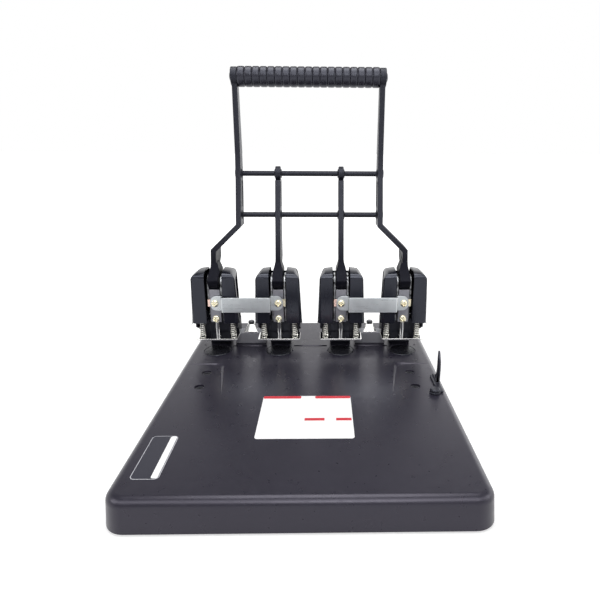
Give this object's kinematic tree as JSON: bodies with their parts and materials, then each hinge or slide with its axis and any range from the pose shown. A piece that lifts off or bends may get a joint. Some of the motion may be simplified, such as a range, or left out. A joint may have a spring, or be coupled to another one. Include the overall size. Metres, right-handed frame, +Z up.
{
  "type": "heavy-duty four-hole punch",
  "caption": "Heavy desk paper punch: a wide handle turns cams that drive hollow punches through a paper stack on a flat black base with sprung pressure plates and a side guide.",
  "frame": {"origin": "Middle of the base on the desk, under the rubber feet.", "axes": "+X runs to the right along the hole row, +Y to the back, away from the paper, +Z up."},
  "size_m": [0.312, 0.3926, 0.3755],
  "materials": {
    "deck_paint": "satin black powder coat, fine grain",
    "cast_black": "black stove enamel over castings and rods",
    "cover_plastic": "satin black moulded plastic",
    "guide_plastic": "black moulded plastic",
    "stop_plastic": "dark grey moulded plastic",
    "disc_plastic": "black hard plastic",
    "grip_rubber": "black ribbed rubber",
    "foot_rubber": "black rubber",
    "black_screw": "blackened steel",
    "bare_steel": "plain rolled steel",
    "zinc_steel": "bright zinc plate",
    "slider_steel": "grey phosphated steel",
    "nickel_plate": "bright nickel plate",
    "polished_steel": "ground and polished steel",
    "yellow_zinc": "yellow passivated zinc",
    "spring_wire": "plated spring wire"
  },
  "bodies": {
    "base": {"base_cover": "deck_paint", "bottom_plate": "bare_steel", "feet": "foot_rubber", "base_screws": "bare_steel", "head_rail": "bare_steel", "rail_bolts": "bare_steel", "pocket_screws": "black_screw", "punch_discs": "disc_plastic", "cheek_brackets": "zinc_steel", "pivot_pins": "zinc_steel", "cover_screws": "black_screw", "paper_stops": "stop_plastic", "stop_brackets": "nickel_plate", "stop_knobs": "guide_plastic", "return_springs_left": "spring_wire", "return_springs_right": "spring_wire", "head_casting_1": "cast_black", "head_casting_2": "cast_black", "head_casting_3": "cast_black", "head_casting_4": "cast_black", "head_cover_1": "cover_plastic", "head_cover_2": "cover_plastic", "head_cover_3": "cover_plastic", "head_cover_4": "cover_plastic", "plate_springs_1": "spring_wire", "plate_springs_2": "spring_wire", "plate_springs_3": "spring_wire", "plate_springs_4": "spring_wire"},
    "lever": {"lever_arm_1": "cast_black", "lever_arm_2": "cast_black", "lever_arm_3": "cast_black", "lever_arm_4": "cast_black", "cross_rod_lower": "cast_black", "cross_rod_upper": "cast_black", "handle_rod": "polished_steel", "handle_grip": "grip_rubber", "handle_bolts": "black_screw"},
    "side_guide": {"side_guide": "guide_plastic"},
    "guide_knob": {"guide_knob": "guide_plastic"},
    "carriage_left": {"slider_1": "slider_steel", "slider_2": "slider_steel", "punches_left": "polished_steel", "strap_left": "zinc_steel", "strap_clips_left": "yellow_zinc", "carriage_screws_left": "yellow_zinc"},
    "carriage_right": {"slider_3": "slider_steel", "slider_4": "slider_steel", "punches_right": "polished_steel", "strap_right": "zinc_steel", "strap_clips_right": "yellow_zinc", "carriage_screws_right": "yellow_zinc"},
    "plate_1": {"pressure_plate_1": "nickel_plate", "guide_posts_1": "black_screw"},
    "plate_2": {"pressure_plate_2": "nickel_plate", "guide_posts_2": "black_screw"},
    "plate_3": {"pressure_plate_3": "nickel_plate", "guide_posts_3": "black_screw"},
    "plate_4": {"pressure_plate_4": "nickel_plate", "guide_posts_4": "black_screw"}
  },
  "joints": [
    {"name": "lever_turn", "type": "hinge", "parent": "base", "child": "lever", "pos_m": [0, 0.11025, 0.11915], "axis": [1, 0, 0], "range_deg": [0, 70]},
    {"name": "carriage_left_slide", "type": "slide", "parent": "base", "child": "carriage_left", "axis": [0, 0, -1], "range_m": [0, 0.0159], "stiffness_N_per_m": 2000, "springref_m": -0.012, "deforming": ["return_springs_left"]},
    {"name": "carriage_right_slide", "type": "slide", "parent": "base", "child": "carriage_right", "axis": [0, 0, -1], "range_m": [0, 0.0159], "stiffness_N_per_m": 2000, "springref_m": -0.012, "deforming": ["return_springs_right"]},
    {"name": "plate_1_slide", "type": "slide", "parent": "base", "child": "plate_1", "axis": [0, 0, 1], "range_m": [0, 0.004], "stiffness_N_per_m": 1600, "springref_m": -0.006, "deforming": ["plate_springs_1"]},
    {"name": "plate_2_slide", "type": "slide", "parent": "base", "child": "plate_2", "axis": [0, 0, 1], "range_m": [0, 0.004], "stiffness_N_per_m": 1600, "springref_m": -0.006, "deforming": ["plate_springs_2"]},
    {"name": "plate_3_slide", "type": "slide", "parent": "base", "child": "plate_3", "axis": [0, 0, 1], "range_m": [0, 0.004], "stiffness_N_per_m": 1600, "springref_m": -0.006, "deforming": ["plate_springs_3"]},
    {"name": "plate_4_slide", "type": "slide", "parent": "base", "child": "plate_4", "axis": [0, 0, 1], "range_m": [0, 0.004], "stiffness_N_per_m": 1600, "springref_m": -0.006, "deforming": ["plate_springs_4"]},
    {"name": "side_guide_swivel", "type": "hinge", "parent": "base", "child": "side_guide", "pos_m": [0.1384, -0.02825, 0.0305], "axis": [0, 0, 1], "range_deg": [0, 90]},
    {"name": "guide_knob_turn", "type": "hinge", "parent": "side_guide", "child": "guide_knob", "pos_m": [0.1384, -0.02825, 0.0305], "axis": [0, 0, 1], "range_deg": [0, 180]}
  ],
  "couplings": [
    {"joint": "carriage_left_slide", "follows": "lever_turn", "m_per_rad": 0.013},
    {"joint": "carriage_right_slide", "follows": "lever_turn", "m_per_rad": 0.013}
  ]
}
